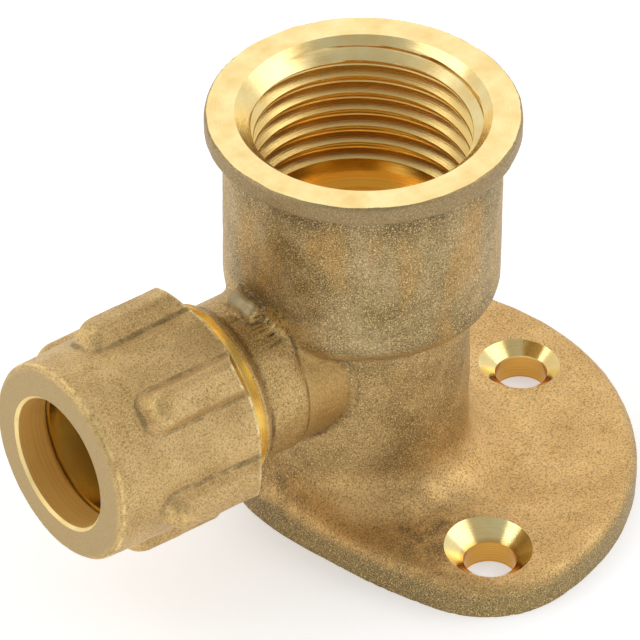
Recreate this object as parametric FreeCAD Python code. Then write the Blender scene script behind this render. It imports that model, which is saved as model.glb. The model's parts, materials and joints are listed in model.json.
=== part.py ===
import FreeCAD, Part
import math
import os

# Wall plate elbow for 12 mm pipe: a forged and machined brass body, a ribbed compression nut and its olive.
# Millimetres and degrees. The origin is on the socket axis at the wall face, +Z points out of the socket,
# and the branch with its nut points along -X. The two sides of the plane Y = 0 mirror each other.

# Fits between pieces
thread_clearance = 0.05
olive_clearance = 0.1
pipe_clearance = 0.05

# Pipe, and the mean diameter of the thread between spigot and nut
pipe_diameter = 12.0
branch_thread_diameter = 15.8

# Wall plate: a disc trimmed on the branch side along a shallow arc
plate_radius = 24.6
plate_thickness = 3.5
plate_slope = 3.0
plate_edge_round = 1.2
trim_reach = 10.6
trim_side_reach = 6.5
trim_side_offset = 18.7
trim_corner_round = 9.0

# Countersunk screw holes: one behind the socket and one on each side
rear_hole_reach = 18.2
side_hole_offset = 18.65
hole_diameter = 4.7
countersink_diameter = 7.6
countersink_angle = 100.0

# Neck, barrel and rim of the outlet socket
overall_height = 40.0
neck_diameter = 19.2
neck_foot_round = 3.5
shoulder_height = 20.6
barrel_base_diameter = 24.3
barrel_top_diameter = 24.5
barrel_corner_round = 2.3
rim_diameter = 27.6
rim_height = 1.6
rim_edge_round = 0.3
rim_root_round = 0.4

# Socket: bored at the crest of its G1/2 thread, which is then cut as one helical groove
socket_thread_diameter = 20.955
socket_minor_diameter = 19.0
socket_thread_pitch = 1.814
socket_thread_angle = 55.0
socket_root_land = 0.1
socket_thread_start = 286.0
socket_mouth_diameter = 22.3
socket_thread_depth = 12.8
socket_depth = 14.5
waterway_diameter = 12.0
waterway_overrun = 4.5
drill_point_angle = 118.0

# Branch, measured outwards from the socket axis, and the trimmed web of flash between it and the barrel
branch_height = 17.0
branch_diameter = 14.8
branch_root_round = 1.8
branch_barrel_round = 0.8
web_width = 3.5
web_leg = 1.0
collar_diameter = 16.4
collar_width = 1.2
collar_edge_width = 0.3
collar_round = 0.4
shoulder_reach = 16.5
relief_width = 1.8
relief_depth = 0.6
spigot_chamfer = 0.4
olive_seat_diameter = 14.4
olive_seat_angle = 60.0
pipe_stop_reach = 17.4
branch_waterway_diameter = 10.0

# Compression nut
nut_front_reach = 33.0
nut_length = 15.0
nut_face_diameter = 17.4
nut_edge_length = 0.5
nut_edge_round = 0.4
nut_front_diameter = 18.3
nut_rear_diameter = 18.9
nut_rear_edge_diameter = 18.6
nut_lip_length = 3.0
nut_mouth_chamfer = 0.25
nut_seat_angle = 90.0
nut_entry_chamfer = 0.4
nut_rear_chamfer = 1.3

# Ribs round the nut
rib_count = 6
rib_first_angle = 17.5
rib_diameter = 22.2
rib_base_width = 3.9
rib_crest_width = 2.8
rib_front_offset = 4.0
rib_front_run = 1.6
rib_front_round = 0.8
rib_edge_round = 0.4

# Olive
olive_length = 5.1
olive_diameter = 14.1
olive_end_diameter = 13.0

# Overshoot of cutting tools past the faces that they cut
tool_overshoot = 1.0

# Places worked out from the sizes above
up = FreeCAD.Vector(0, 0, 1)
origin = FreeCAD.Vector(0, 0, 0)
neck_radius = neck_diameter / 2
pipe_bore_radius = pipe_diameter / 2 + pipe_clearance
spigot_radius = branch_thread_diameter / 2
nut_thread_radius = spigot_radius + thread_clearance
socket_floor = overall_height - socket_depth
nut_rear_reach = nut_front_reach - nut_length
nut_seat_reach = nut_front_reach - nut_lip_length
nut_seat_half = math.radians(nut_seat_angle / 2)
olive_seat_half = math.radians(olive_seat_angle / 2)
olive_end_radius = olive_end_diameter / 2
olive_front_reach = (nut_seat_reach
                     - (olive_end_radius - pipe_bore_radius) / math.tan(nut_seat_half)
                     - olive_clearance / math.sin(nut_seat_half))
olive_rear_reach = olive_front_reach - olive_length
spigot_reach = (olive_rear_reach
                + (olive_seat_diameter / 2 - olive_end_radius) / math.tan(olive_seat_half)
                - olive_clearance / math.sin(olive_seat_half))


def corner_arc(before, corner, after, radius):
    """Start, middle and end of the arc that rounds one corner of an outline."""
    to_before = (before - corner).normalize()
    to_after = (after - corner).normalize()
    half_angle = to_before.getAngle(to_after) / 2
    tangent_length = radius / math.tan(half_angle)
    inward = (to_before + to_after).normalize()
    middle = corner + inward * (radius / math.sin(half_angle) - radius)
    return corner + to_before * tangent_length, middle, corner + to_after * tangent_length


def rounded_outline(corners):
    """Closed wire in the XZ plane through (x, z, round) corners."""
    points = [FreeCAD.Vector(x, 0, z) for x, z, radius in corners]
    spans = []
    for index, (x, z, radius) in enumerate(corners):
        following = points[(index + 1) % len(points)]
        if radius > 0:
            spans.append(corner_arc(points[index - 1], points[index], following, radius))
        else:
            spans.append((points[index], None, points[index]))
    edges = []
    for index, (start, middle, end) in enumerate(spans):
        if middle is not None:
            edges.append(Part.Arc(start, middle, end).toShape())
        edges.append(Part.LineSegment(end, spans[(index + 1) % len(spans)][0]).toShape())
    return Part.Wire(edges)


def turned(corners):
    """Solid of revolution about Z from (radius, height, round) corners."""
    return Part.Face(rounded_outline(corners)).revolve(origin, up, 360)


def on_branch(shape):
    """Move a shape built about +Z onto the branch, so that its height is its reach along -X."""
    placed = shape.copy()
    turn = FreeCAD.Rotation(FreeCAD.Vector(0, 1, 0), -90)
    placed.Placement = FreeCAD.Placement(FreeCAD.Vector(0, 0, branch_height), turn)
    return placed


def mirrored(point):
    return FreeCAD.Vector(point.x, -point.y, point.z)


def plate_top(radius):
    """Height of the plate's sloping top face at a distance from the socket axis."""
    return plate_thickness + (side_hole_offset - radius) * math.tan(math.radians(plate_slope))


def plate_outline():
    """Plan of the plate: disc, trimming arc, and the two corner arcs that touch both."""
    sagitta = trim_reach - trim_side_reach
    trim_radius = (trim_side_offset ** 2 + sagitta ** 2) / (2 * sagitta)
    trim_centre = FreeCAD.Vector(trim_radius - trim_reach, 0, 0)
    from_axis = plate_radius - trim_corner_round
    from_trim = trim_radius - trim_corner_round
    corner_x = (from_axis ** 2 - from_trim ** 2 + trim_centre.x ** 2) / (2 * trim_centre.x)
    corner = FreeCAD.Vector(corner_x, math.sqrt(from_axis ** 2 - corner_x ** 2), 0)
    on_disc = corner * (plate_radius / from_axis)
    on_trim = trim_centre + (corner - trim_centre) * (trim_radius / from_trim)
    outward = ((on_disc - corner).normalize() + (on_trim - corner).normalize()).normalize()
    on_corner = corner + outward * trim_corner_round
    return Part.Wire([
        Part.Arc(mirrored(on_disc), FreeCAD.Vector(plate_radius, 0, 0), on_disc).toShape(),
        Part.Arc(on_disc, on_corner, on_trim).toShape(),
        Part.Arc(on_trim, FreeCAD.Vector(-trim_reach, 0, 0), mirrored(on_trim)).toShape(),
        Part.Arc(mirrored(on_trim), mirrored(on_corner), mirrored(on_disc)).toShape(),
    ])


def is_cylinder(face, radius, axis):
    """True for a cylindrical face of this radius along this axis."""
    surface = face.Surface
    if surface.TypeId != "Part::GeomCylinder":
        return False
    return math.isclose(surface.Radius, radius) and math.isclose(abs(surface.Axis.dot(axis)), 1)


def plate_and_neck():
    """Plate with a rounded upper edge, and the neck that rises from it on a flared foot."""
    outside = plate_radius + tool_overshoot
    neck_top = overall_height - rim_height
    stem = turned([
        (0, 0, 0),
        (outside, 0, 0),
        (outside, plate_top(outside), 0),
        (neck_radius, plate_top(neck_radius), neck_foot_round),
        (neck_radius, neck_top, 0),
        (0, neck_top, 0),
    ])
    plan = Part.Face(plate_outline()).extrude(up * overall_height)
    plate = stem.common(plan)
    rim_edges = []
    for edge in plate.Edges:
        box = edge.BoundBox
        walls = [face for face in plate.ancestorsOfType(edge, Part.Face)
                 if face.Surface.TypeId == "Part::GeomCylinder"
                 and not is_cylinder(face, neck_radius, up)]
        if len(walls) == 1 and box.ZMin > 0:
            rim_edges.append(edge)
    return plate.makeFillet(plate_edge_round, rim_edges)


def branch_blank():
    """Forged branch with the collar behind its shoulder."""
    branch_radius = branch_diameter / 2
    collar_radius = collar_diameter / 2
    return on_branch(turned([
        (0, 0, 0),
        (branch_radius, 0, 0),
        (branch_radius, shoulder_reach - collar_width, collar_round),
        (collar_radius, shoulder_reach - collar_edge_width, collar_round),
        (collar_radius, shoulder_reach, 0),
        (0, shoulder_reach, 0),
    ]))


def barrel_blank():
    """Forged barrel and rim of the outlet socket."""
    rim_bottom = overall_height - rim_height
    rim_radius = rim_diameter / 2
    return turned([
        (0, shoulder_height, 0),
        (barrel_base_diameter / 2, shoulder_height, barrel_corner_round),
        (barrel_top_diameter / 2, rim_bottom, rim_root_round),
        (rim_radius, rim_bottom, rim_edge_round),
        (rim_radius, overall_height, rim_edge_round),
        (0, overall_height, 0),
    ])


def branch_edges(shape):
    """Edges of the branch's round wall, each with the face on its other side."""
    along_branch = FreeCAD.Vector(1, 0, 0)
    found = []
    for edge in shape.Edges:
        faces = shape.ancestorsOfType(edge, Part.Face)
        others = [face for face in faces if not is_cylinder(face, branch_diameter / 2, along_branch)]
        if len(faces) == 2 and len(others) == 1:
            found.append((edge, others[0]))
    return found


def flash_web():
    """Wedge of trimmed flash in the corner between the branch's top and the barrel."""
    top = branch_height + branch_diameter / 2
    wall = -barrel_base_diameter / 2
    sunk = web_leg / 2
    corners = [
        FreeCAD.Vector(wall - web_leg - sunk, -web_width / 2, top - sunk),
        FreeCAD.Vector(wall + sunk, -web_width / 2, top + web_leg + sunk),
        FreeCAD.Vector(wall + sunk, -web_width / 2, top - sunk),
    ]
    section = Part.Face(Part.makePolygon(corners + corners[:1]))
    return section.extrude(FreeCAD.Vector(0, web_width, 0))


def forging():
    """The body before machining, with the branch blended into the neck and the barrel."""
    lower = plate_and_neck().fuse(branch_blank())
    neck_seam = [edge for edge, face in branch_edges(lower) if is_cylinder(face, neck_radius, up)]
    joined = lower.makeFillet(branch_root_round, neck_seam).fuse(barrel_blank())
    barrel_radius = max(barrel_base_diameter, barrel_top_diameter) / 2
    barrel_seam = []
    for edge, face in branch_edges(joined):
        under_barrel = edge.BoundBox.XMin > -barrel_radius
        if under_barrel and face.Surface.TypeId in ("Part::GeomCone", "Part::GeomToroid"):
            barrel_seam.append(edge)
    return joined.makeFillet(branch_barrel_round, barrel_seam).fuse(flash_web())


def spigot():
    """Turned spigot: thread relief at the shoulder, then the threaded length."""
    relief_radius = spigot_radius - relief_depth
    relief_end = shoulder_reach + relief_width
    return on_branch(turned([
        (0, shoulder_reach - collar_width, 0),
        (relief_radius, shoulder_reach - collar_width, 0),
        (relief_radius, relief_end, 0),
        (spigot_radius, relief_end + relief_depth, 0),
        (spigot_radius, spigot_reach - spigot_chamfer, 0),
        (spigot_radius - spigot_chamfer, spigot_reach, 0),
        (0, spigot_reach, 0),
    ]))


def socket_tool():
    """Outlet before it is threaded: mouth chamfer, bore and floor."""
    bore_radius = socket_minor_diameter / 2
    mouth_radius = socket_mouth_diameter / 2
    above = overall_height + tool_overshoot
    return turned([
        (0, socket_floor, 0),
        (bore_radius, socket_floor, 0),
        (bore_radius, overall_height - (mouth_radius - bore_radius), 0),
        (mouth_radius, overall_height, 0),
        (mouth_radius, above, 0),
        (0, above, 0),
    ])


def socket_thread_tool():
    """Groove of the outlet's right-hand thread, which runs out upwards through the mouth chamfer."""
    root_radius = socket_thread_diameter / 2
    bore_radius = socket_minor_diameter / 2
    inner_radius = bore_radius - tool_overshoot / 2
    half_root = socket_root_land / 2
    half_open = half_root + (root_radius - bore_radius) * math.tan(math.radians(socket_thread_angle / 2))
    lowest = overall_height - socket_thread_depth + half_open
    highest = overall_height + socket_thread_pitch
    lower_side = [(inner_radius, -half_open), (bore_radius, -half_open), (root_radius, -half_root)]
    section = lower_side + [(x, -z) for x, z in reversed(lower_side)]
    corners = [FreeCAD.Vector(x, 0, z) for x, z in section]
    helix = Part.Wire(Part.makeHelix(socket_thread_pitch, highest - lowest, bore_radius))
    thread = helix.makePipeShell([Part.makePolygon(corners + corners[:1])], True, True)
    thread.rotate(origin, up, socket_thread_start)
    thread.translate(up * lowest)
    return thread


def waterway_tool():
    """Drilled passage from the socket floor down past the branch axis."""
    radius = waterway_diameter / 2
    bottom = branch_height - waterway_overrun
    point = radius / math.tan(math.radians(drill_point_angle / 2))
    above = socket_floor + tool_overshoot
    return turned([
        (0, bottom - point, 0),
        (radius, bottom, 0),
        (radius, above, 0),
        (0, above, 0),
    ])


def branch_bore_tool():
    """Passage, pipe stop, pipe bore and olive seat along the branch."""
    passage_radius = branch_waterway_diameter / 2
    seat_radius = olive_seat_diameter / 2
    seat_depth = (seat_radius - pipe_bore_radius) / math.tan(olive_seat_half)
    outside = spigot_reach + tool_overshoot
    return on_branch(turned([
        (0, 0, 0),
        (passage_radius, 0, 0),
        (passage_radius, pipe_stop_reach, 0),
        (pipe_bore_radius, pipe_stop_reach, 0),
        (pipe_bore_radius, spigot_reach - seat_depth, 0),
        (seat_radius, spigot_reach, 0),
        (seat_radius, outside, 0),
        (0, outside, 0),
    ]))


def screw_hole_tool(x, y):
    """Countersunk hole through the plate at one place in its plan."""
    hole_radius = hole_diameter / 2
    sink_radius = countersink_diameter / 2
    slope = math.tan(math.radians(countersink_angle / 2))
    sink_bottom = plate_thickness - (sink_radius - hole_radius) / slope
    above = plate_thickness + tool_overshoot
    tool = turned([
        (0, -tool_overshoot, 0),
        (hole_radius, -tool_overshoot, 0),
        (hole_radius, sink_bottom, 0),
        (sink_radius + tool_overshoot * slope, above, 0),
        (0, above, 0),
    ])
    tool.translate(FreeCAD.Vector(x, y, 0))
    return tool


def elbow_body():
    """The forging with its spigot turned and its socket, passages and holes cut."""
    tools = [socket_tool(), waterway_tool(), branch_bore_tool()]
    tools.append(screw_hole_tool(rear_hole_reach, 0))
    tools.append(screw_hole_tool(0, side_hole_offset))
    tools.append(screw_hole_tool(0, -side_hole_offset))
    return forging().fuse(spigot()).cut(tools).removeSplitter().cut(socket_thread_tool())


def nut_barrel():
    """Outside of the nut without its ribs."""
    front_radius = nut_front_diameter / 2
    rear_radius = nut_rear_diameter / 2
    rear_edge_radius = nut_rear_edge_diameter / 2
    chamfer_rise = rib_diameter / 2 - rear_edge_radius
    chamfer_length = nut_rear_chamfer * (rear_radius - rear_edge_radius) / chamfer_rise
    return turned([
        (0, nut_rear_reach, 0),
        (rear_edge_radius, nut_rear_reach, 0),
        (rear_radius, nut_rear_reach + chamfer_length, 0),
        (front_radius, nut_front_reach - nut_edge_length, nut_edge_round),
        (nut_face_diameter / 2, nut_front_reach, 0),
        (0, nut_front_reach, 0),
    ])


def rib_bar(angle):
    """Long bar with the cross-section of one rib, tapering outwards from the nut."""
    base_radius = nut_front_diameter / 2
    root_radius = (nut_thread_radius + base_radius) / 2
    taper = (rib_base_width - rib_crest_width) / (rib_diameter - nut_front_diameter)
    outer_radius = rib_diameter / 2 + rib_crest_width / 4
    half_base = rib_base_width / 2
    half_outer = half_base - taper * (outer_radius - base_radius)
    side = [(root_radius, half_base), (base_radius, half_base), (outer_radius, half_outer)]
    section = side + [(x, -y) for x, y in reversed(side)]
    points = [FreeCAD.Vector(x, y, nut_rear_reach) for x, y in section]
    bar = Part.Face(Part.makePolygon(points + points[:1])).extrude(up * nut_length)
    bar.rotate(origin, up, angle)
    return bar


def nut_ribs():
    """Ribs with sloping front ends, chamfered off by a turned cone at the rear."""
    rib_radius = rib_diameter / 2
    foot_reach = nut_front_reach - rib_front_offset
    envelope = turned([
        (0, nut_rear_reach, 0),
        (nut_rear_edge_diameter / 2, nut_rear_reach, 0),
        (rib_radius, nut_rear_reach + nut_rear_chamfer, 0),
        (rib_radius, foot_reach - rib_front_run, rib_front_round),
        (nut_front_diameter / 2 - tool_overshoot, foot_reach, 0),
        (0, foot_reach, 0),
    ])
    ribs = []
    for index in range(rib_count):
        rib = rib_bar(rib_first_angle + 360 / rib_count * index).common(envelope)
        crest_edges = []
        for edge in rib.Edges:
            faces = rib.ancestorsOfType(edge, Part.Face)
            on_crest = any(is_cylinder(face, rib_radius, up) for face in faces)
            on_side = any(face.Surface.TypeId == "Part::GeomPlane" for face in faces)
            if on_crest and on_side:
                crest_edges.append(edge)
        ribs.append(rib.makeFillet(rib_edge_round, crest_edges))
    return ribs


def nut_bore_tool():
    """Inside of the nut: mouth, lip bore, olive seat and threaded bore."""
    mouth_radius = pipe_bore_radius + nut_mouth_chamfer
    seat_length = (nut_thread_radius - pipe_bore_radius) / math.tan(nut_seat_half)
    entry_radius = nut_thread_radius + nut_entry_chamfer
    return turned([
        (0, nut_rear_reach - tool_overshoot, 0),
        (entry_radius, nut_rear_reach - tool_overshoot, 0),
        (entry_radius, nut_rear_reach, 0),
        (nut_thread_radius, nut_rear_reach + nut_entry_chamfer, 0),
        (nut_thread_radius, nut_seat_reach - seat_length, 0),
        (pipe_bore_radius, nut_seat_reach, 0),
        (pipe_bore_radius, nut_front_reach - nut_mouth_chamfer, 0),
        (mouth_radius, nut_front_reach, 0),
        (mouth_radius, nut_front_reach + tool_overshoot, 0),
        (0, nut_front_reach + tool_overshoot, 0),
    ])


def compression_nut():
    nut = nut_barrel().fuse(nut_ribs()).cut(nut_bore_tool()).removeSplitter()
    return on_branch(nut)


def olive():
    """Barrel-shaped ring between the nut's seat and the spigot's seat."""
    rear_inner = FreeCAD.Vector(pipe_bore_radius, 0, olive_rear_reach)
    front_inner = FreeCAD.Vector(pipe_bore_radius, 0, olive_front_reach)
    rear_outer = FreeCAD.Vector(olive_end_radius, 0, olive_rear_reach)
    front_outer = FreeCAD.Vector(olive_end_radius, 0, olive_front_reach)
    crown = FreeCAD.Vector(olive_diameter / 2, 0, (olive_rear_reach + olive_front_reach) / 2)
    outline = Part.Wire([
        Part.LineSegment(rear_inner, rear_outer).toShape(),
        Part.Arc(rear_outer, crown, front_outer).toShape(),
        Part.LineSegment(front_outer, front_inner).toShape(),
        Part.LineSegment(front_inner, rear_inner).toShape(),
    ])
    return on_branch(Part.Face(outline).revolve(origin, up, 360))


os.makedirs("parts", exist_ok=True)
elbow_body().exportStep("parts/elbow_body.step")
compression_nut().exportStep("parts/compression_nut.step")
olive().exportStep("parts/olive.step")
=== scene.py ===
import json
import math
from itertools import product

import bmesh
import bpy
import numpy as np
from mathutils import Matrix, Vector


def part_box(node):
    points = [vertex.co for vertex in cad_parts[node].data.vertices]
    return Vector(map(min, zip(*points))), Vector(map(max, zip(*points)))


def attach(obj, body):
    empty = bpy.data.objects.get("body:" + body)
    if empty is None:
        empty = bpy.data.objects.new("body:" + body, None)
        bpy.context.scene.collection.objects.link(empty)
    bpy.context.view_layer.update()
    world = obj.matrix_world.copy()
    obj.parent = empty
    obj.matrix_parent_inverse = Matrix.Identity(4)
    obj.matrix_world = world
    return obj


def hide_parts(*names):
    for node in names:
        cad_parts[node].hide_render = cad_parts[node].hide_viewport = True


# Wall plate elbow: a forged brass body with machined faces, bores and threads, and a ribbed compression nut.
# Shapes are worked out in millimetres in the CAD frame and become metres when a mesh is made.
# The socket axis is +Z, the branch points along -X, and its places are given as a reach from the socket axis.

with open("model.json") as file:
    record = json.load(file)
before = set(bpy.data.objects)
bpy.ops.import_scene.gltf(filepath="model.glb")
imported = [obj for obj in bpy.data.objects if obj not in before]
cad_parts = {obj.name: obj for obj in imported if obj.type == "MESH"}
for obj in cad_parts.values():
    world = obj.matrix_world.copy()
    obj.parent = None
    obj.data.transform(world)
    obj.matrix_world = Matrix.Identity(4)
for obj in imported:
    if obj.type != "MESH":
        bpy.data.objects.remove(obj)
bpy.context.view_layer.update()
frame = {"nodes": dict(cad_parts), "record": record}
MM = 0.001
TURN = 2 * math.pi

# Sizes read from the frame
mounts = {mount["name"]: mount for mount in frame["record"]["mounts"]}
body_low, body_high = [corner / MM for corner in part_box("elbow_body")]
nut_low, nut_high = [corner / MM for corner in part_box("compression_nut")]
overall_height = body_high.z
plate_radius = body_high.x
spigot_reach = -body_low.x
nut_front = -nut_low.x
nut_rear = -nut_high.x
branch_height = mounts["pipe_inlet"]["pos_m"][2] / MM
pipe_radius = mounts["pipe_inlet"]["dims"]["r_mm"]
socket_crest = mounts["outlet_thread"]["dims"]["r_mm"]
hole_radius = mounts["rear_screw"]["dims"]["r_mm"]

# Wall plate
plate_thickness = 3.5
plate_slope = math.radians(3)
plate_edge_round = 1.2
trim_reach = 10.6
trim_radius = 44.7
trim_corner_round = 9.0
countersink_radii = {"rear_screw": 3.65, "left_screw": 3.75, "right_screw": 3.95}
countersink_half = math.radians(50)
hole_places = {name: Vector(mounts[name]["pos_m"]) / MM for name in countersink_radii}
side_hole_offset = abs(hole_places["left_screw"].y)

# Neck, barrel and rim
neck_radius = 9.6
neck_foot_round = 3.5
barrel_bottom = 20.95
barrel_base_radius = 12.15
barrel_top_radius = 12.25
barrel_corner_round = 2.3
barrel_neck_round = 0.8
rim_radius = 13.8
rim_height = 1.85
rim_bottom = overall_height - rim_height
rim_edge_round = 0.25
rim_top_round = 0.5
rim_root_round = 0.35

# Socket thread and passages
socket_mouth = 11.15
socket_root = 20.955 / 2
socket_pitch = 1.814
socket_groove_halves = (0.8, 0.22)  # at the opening and at the root
socket_start_half = 0.56
socket_thread_start = math.radians(286)
socket_thread_depth = 12.8
socket_depth = 14.5
socket_step_radius = 8.2
socket_step_depth = 1.6
waterway_radius = 6.0
waterway_overrun = 4.5
drill_half = math.radians(59)
drill_point = waterway_radius / math.tan(drill_half)
drill_tip_radius = 0.12

# Branch, its collar and spigot
branch_radius = 7.4
branch_root_round = 0.4
collar_radius = 8.2
collar_back = 15.3
collar_front = 16.2
shoulder_reach = 16.5
relief_radius = 7.3
relief_end = 18.2
spigot_radius = 7.9
spigot_root = 7.45
spigot_chamfer = 0.4
branch_pitch = 1.337
branch_groove_halves = (0.55, 0.12)  # at the opening and at the root
olive_seat_radius = 7.2
olive_seat_half = math.radians(30)
pipe_stop_reach = 17.4
branch_waterway_radius = 5.0

# Traces of the forging die: trimmed web of flash over the branch, and the strip along the parting plane
web_half_width = 1.85
web_leg = 2.2
web_front = 13.8
web_top = 25.8
web_round = 0.15
web_end_round = 0.6
strip_half_width = 0.65
strip_height = 0.16

# Smooth patch that the die's insert leaves on each side of the branch's root
patch_reach = 11.5
patch_depth = 0.2
patch_edge = 0.3

# Compression nut
nut_face_radius = 8.7
nut_edge_length = 0.5
nut_edge_round = 0.14
nut_front_radius = 9.15
nut_rear_radius = 9.45
nut_rear_edge = 9.3
nut_rear_cone_run = 1.3
nut_lip = 3.0
nut_mouth_chamfer = 0.28
nut_thread_crest = 7.95
nut_thread_root = 8.4
nut_entry_chamfer = 0.4
rib_count = 6
rib_first_angle = math.radians(17.5)
rib_radius = 11.1
rib_base_width = 3.9
rib_crest_width = 2.8
rib_front_offset = 4.5
rib_front_run = 1.0
rib_nose_round = 1.3
rib_edge_round = 0.75
rib_root_round = 0.2
nut_rear_widening = (rib_radius - nut_rear_edge) / nut_rear_cone_run

# Finish of the meshes
allowance = 0.4
facing_stock = allowance / 3
body_step = 0.4
body_fine_step = 0.22
nut_step = 0.2
fine_segments = 168
coarse_segments = 96
thread_rows = 14
thread_run_out = 0.15
thread_gap = 0.05
tool_cap_radius = 2.35
shortest_edge = 0.0005
sharp_angle = math.radians(25)

# Unevenness of the forged skins: lengths of broad and close waves, their depths, and a seed for each piece
wave_count = 40
shortest_wave_share = 0.3
broad_wave, close_wave = 7.0, 2.4
body_unevenness = (0.05, 0.03)
nut_unevenness = (0.03, 0.02)
body_seed, nut_seed = 3, 11

# Steps that settle a mesh on its surface and measure its bends
settling_rounds = 3
slope_nudge = 0.02
bend_nudge = 0.2
least_slope = 0.5

# Every piece has its forged skin as its first finish
FORGED = 0


# Distances: negative inside the material, in millimetres

def rounded_both(first, second, radius):
    """Distance to the overlap of two solids, with a rounded edge."""
    outside = np.hypot(np.maximum(first + radius, 0), np.maximum(second + radius, 0))
    return np.minimum(np.maximum(first, second), -radius) + outside


def filleted(first, second, radius):
    """Distance to two solids joined by a fillet."""
    corner = np.hypot(np.maximum(radius - first, 0), np.maximum(radius - second, 0))
    return np.maximum(np.minimum(first, second), radius) - corner


def plan_distance(x, y):
    """Outline of the plate: a disc trimmed by a wider arc, with rounded corners."""
    trim_centre = trim_radius - trim_reach
    disc = plate_radius - trim_corner_round
    arc = trim_radius - trim_corner_round
    corner_x = (trim_centre ** 2 + disc ** 2 - arc ** 2) / (2 * trim_centre)
    corner_y = math.sqrt(disc ** 2 - corner_x ** 2)
    disc_way = np.array([corner_x, corner_y]) / disc
    arc_way = np.array([corner_x - trim_centre, corner_y]) / arc
    turn = disc_way[0] * arc_way[1] - disc_way[1] * arc_way[0]
    across, along = x - corner_x, np.abs(y) - corner_y
    beyond_disc = (across * arc_way[1] - along * arc_way[0]) / turn
    beyond_arc = (along * disc_way[0] - across * disc_way[1]) / turn
    at_corner = (beyond_disc > 0) & (beyond_arc > 0)
    from_arcs = np.maximum(np.hypot(x, y) - disc, np.hypot(x - trim_centre, y) - arc)
    return np.where(at_corner, np.hypot(across, along), from_arcs) - trim_corner_round


def plate_distance(x, y, z):
    """Trimmed disc with a sloping top and a rounded upper edge."""
    rise = (side_hole_offset - np.hypot(x, y)) * math.tan(plate_slope)
    top = (z - plate_thickness - rise) * math.cos(plate_slope)
    return rounded_both(plan_distance(x, y), top, plate_edge_round)


def barrel_distance(x, y, z):
    """Barrel with its rounded foot, and the rim round the mouth."""
    from_axis = np.hypot(x, y)
    draft = (barrel_top_radius - barrel_base_radius) / (overall_height - barrel_bottom)
    wall = from_axis - barrel_base_radius - (z - barrel_bottom) * draft
    barrel = rounded_both(wall, barrel_bottom - z, barrel_corner_round)
    rim = rounded_both(from_axis - rim_radius, rim_bottom - z, rim_edge_round)
    joined = filleted(barrel, rim, rim_root_round)
    return rounded_both(joined, z - overall_height - facing_stock, rim_top_round)


def branch_distance(x, y, z):
    """Forged branch, and the thicker end that the collar and the spigot are turned from."""
    reach = -x
    beside = np.minimum(patch_reach - reach, np.abs(y) - branch_radius / 2)
    from_axis = np.hypot(y, z - branch_height) + patch_depth * np.clip(beside / patch_edge, 0, 1)
    back_slope = math.atan2(collar_radius - branch_radius, collar_front - collar_back)
    collar_wall = (from_axis - branch_radius) * math.cos(back_slope)
    collar_wall = collar_wall - (reach - collar_back) * math.sin(back_slope)
    collar = rounded_both(from_axis - collar_radius, collar_wall, web_round)
    end = reach - spigot_reach - allowance
    return np.maximum(np.maximum(filleted(from_axis - branch_radius, collar, web_round), end), x)


def web_distance(x, y, z):
    """Block of trimmed flash between the branch's top and the barrel, with a slanted face."""
    slant = (-barrel_base_radius - x) + (z - branch_height - branch_radius) - web_leg
    end = rounded_both(np.maximum(z - web_top, -x - web_front), slant / math.sqrt(2), web_round)
    return rounded_both(end, np.abs(y) - web_half_width, web_end_round)


def body_distance(x, y, z):
    """The forged body before machining."""
    from_axis = np.hypot(x, y)
    neck = np.maximum(from_axis - neck_radius, z - barrel_bottom - barrel_corner_round)
    lower = filleted(plate_distance(x, y, z), neck, neck_foot_round)
    lower = filleted(lower, branch_distance(x, y, z), branch_root_round)
    barrel = barrel_distance(x, y, z)
    web = np.maximum(web_distance(x, y, z), np.maximum(barrel, branch_distance(x, y, z)) - web_leg)
    forged = filleted(filleted(lower, barrel, barrel_neck_round), web, web_round)
    parting = rounded_both(forged - strip_height, np.abs(y) - strip_half_width, strip_height)
    parting = np.maximum(parting, np.maximum(x + barrel_base_radius, z - web_top))
    return np.maximum(np.minimum(forged, parting), -z - allowance)


def nut_barrel_distance(behind_face, from_axis):
    """Slightly conical barrel of the nut, with a bevelled and rounded front edge."""
    taper = (nut_rear_radius - nut_front_radius) / (nut_front - nut_rear)
    wall = from_axis - nut_front_radius - behind_face * taper
    edge_rise = nut_front_radius - nut_face_radius
    edge = (from_axis - nut_face_radius) * nut_edge_length - behind_face * edge_rise
    edge = edge / math.hypot(nut_edge_length, edge_rise)
    return rounded_both(rounded_both(wall, edge, nut_edge_round), -behind_face, nut_edge_round)


def rib_distance(behind_face, from_axis, angle):
    """Ribs round the nut, narrower towards their crests, with sloping rounded noses."""
    rib_rise = rib_radius - nut_front_radius
    pitch = TURN / rib_count
    from_rib = (angle - rib_first_angle + pitch / 2) % pitch - pitch / 2
    outward = from_axis * np.cos(from_rib)
    sideways = np.abs(from_axis * np.sin(from_rib))
    narrowing = (rib_base_width - rib_crest_width) / (2 * rib_rise)
    flank = sideways - rib_base_width / 2 + (outward - nut_front_radius) * narrowing
    flank = flank / math.hypot(1, narrowing)
    front_slope = rib_rise / rib_front_run
    front = (from_axis - nut_front_radius) - (behind_face - rib_front_offset) * front_slope
    front = front / math.hypot(1, front_slope)
    outline = rounded_both(flank, front, rib_nose_round)
    rib = rounded_both(outline, from_axis - rib_radius, rib_edge_round)
    return np.maximum(rib, rib_front_offset / 2 - behind_face)


def nut_distance(x, y, z):
    """The forged nut before machining: its barrel and its ribs."""
    behind_face = nut_front + x
    behind_rear = nut_rear - allowance + x
    from_axis = np.hypot(y, z - branch_height)
    barrel = nut_barrel_distance(behind_face, from_axis)
    ribs = rib_distance(behind_face, from_axis, np.arctan2(y, z - branch_height))
    return np.maximum(filleted(barrel, ribs, rib_root_round), behind_rear)


# Meshes on a distance

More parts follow.
